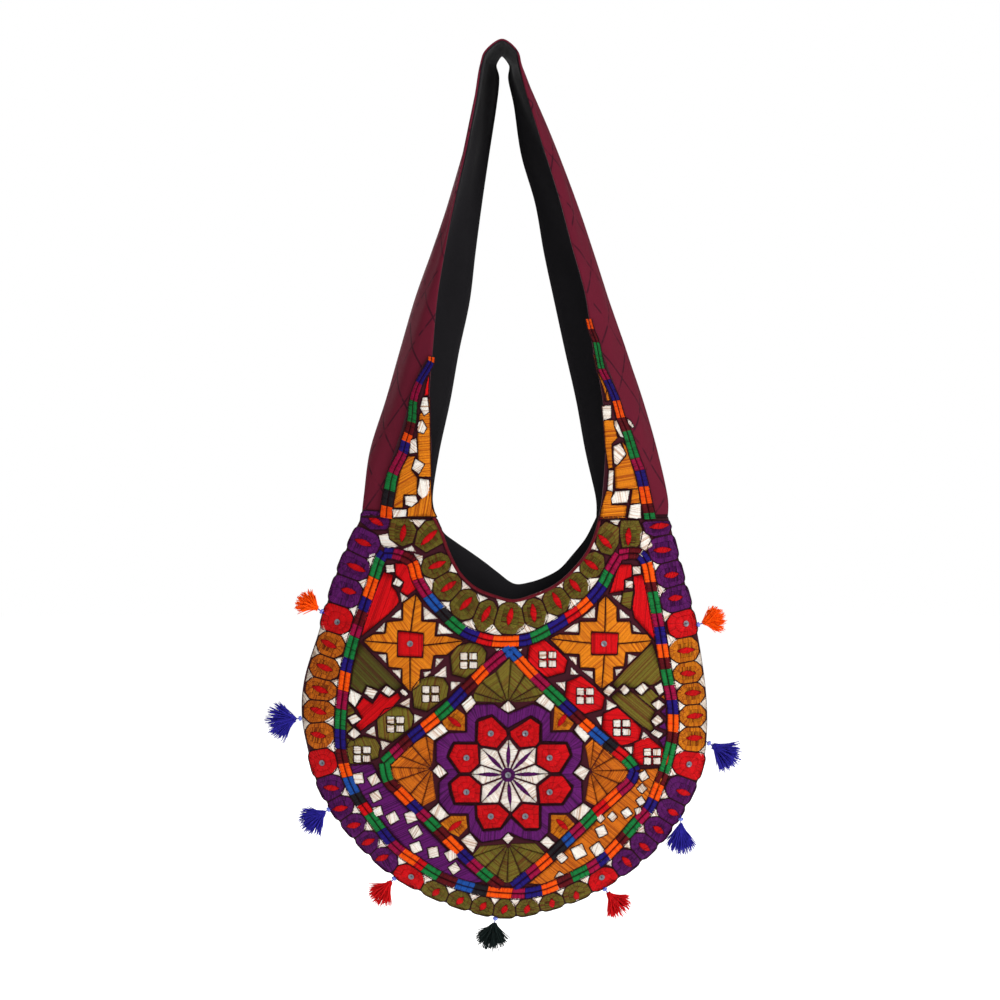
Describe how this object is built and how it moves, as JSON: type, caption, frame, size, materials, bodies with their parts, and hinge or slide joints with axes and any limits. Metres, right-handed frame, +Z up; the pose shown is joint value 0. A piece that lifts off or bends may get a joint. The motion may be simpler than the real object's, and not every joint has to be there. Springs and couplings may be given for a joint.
{
  "type": "embroidered shoulder bag",
  "caption": "Round embroidered cloth shoulder bag with a scooped mouth and a wide lined strap, edged with beaded yarn tassels, hanging by its strap.",
  "frame": {"origin": "underside of the strap where it lies over its peg", "axes": "+Z up along the hanging bag, the embroidered front faces -Y, +X to the right seen from the front"},
  "size_m": [0.4658, 0.0947, 0.9071],
  "materials": {
    "embroidery": "glossy floss in satin stitch over maroon cloth",
    "maroon_cotton": "matt printed cotton",
    "black_lining": "matt plain cotton",
    "binding": "close overcast stitches",
    "orange_yarn": "loose soft yarn",
    "blue_yarn": "loose soft yarn",
    "red_yarn": "loose soft yarn",
    "black_yarn": "loose soft yarn",
    "bead_glass": "polished glass, white and blue",
    "sequin_metal": "dull silver foil"
  },
  "bodies": {
    "root": {"front_panel": "embroidery", "front_lining": "black_lining", "back_panel": "maroon_cotton", "back_lining": "black_lining", "mouth_binding": "binding", "strap": "maroon_cotton", "strap_lining": "black_lining", "strap_point_left": "embroidery", "strap_point_right": "embroidery", "tassel_1": "orange_yarn", "tassel_2": "blue_yarn", "tassel_3": "blue_yarn", "tassel_4": "red_yarn", "tassel_5": "black_yarn", "tassel_6": "red_yarn", "tassel_7": "blue_yarn", "tassel_8": "blue_yarn", "tassel_9": "orange_yarn", "bead_1": "bead_glass", "bead_2": "bead_glass", "bead_3": "bead_glass", "bead_4": "bead_glass", "bead_5": "bead_glass", "bead_6": "bead_glass", "bead_7": "bead_glass", "bead_8": "bead_glass", "bead_9": "bead_glass", "sequin_centre": "sequin_metal", "sequin_cell_1": "sequin_metal", "sequin_cell_2": "sequin_metal", "sequin_cell_3": "sequin_metal", "sequin_cell_4": "sequin_metal", "sequin_cell_5": "sequin_metal", "sequin_cell_6": "sequin_metal", "sequin_cell_7": "sequin_metal", "sequin_cell_8": "sequin_metal", "sequin_edge_1": "sequin_metal", "sequin_edge_2": "sequin_metal", "sequin_edge_3": "sequin_metal", "sequin_edge_4": "sequin_metal", "sequin_edge_5": "sequin_metal", "sequin_edge_6": "sequin_metal", "sequin_star_1": "sequin_metal", "sequin_star_2": "sequin_metal"}
  },
  "joints": []
}
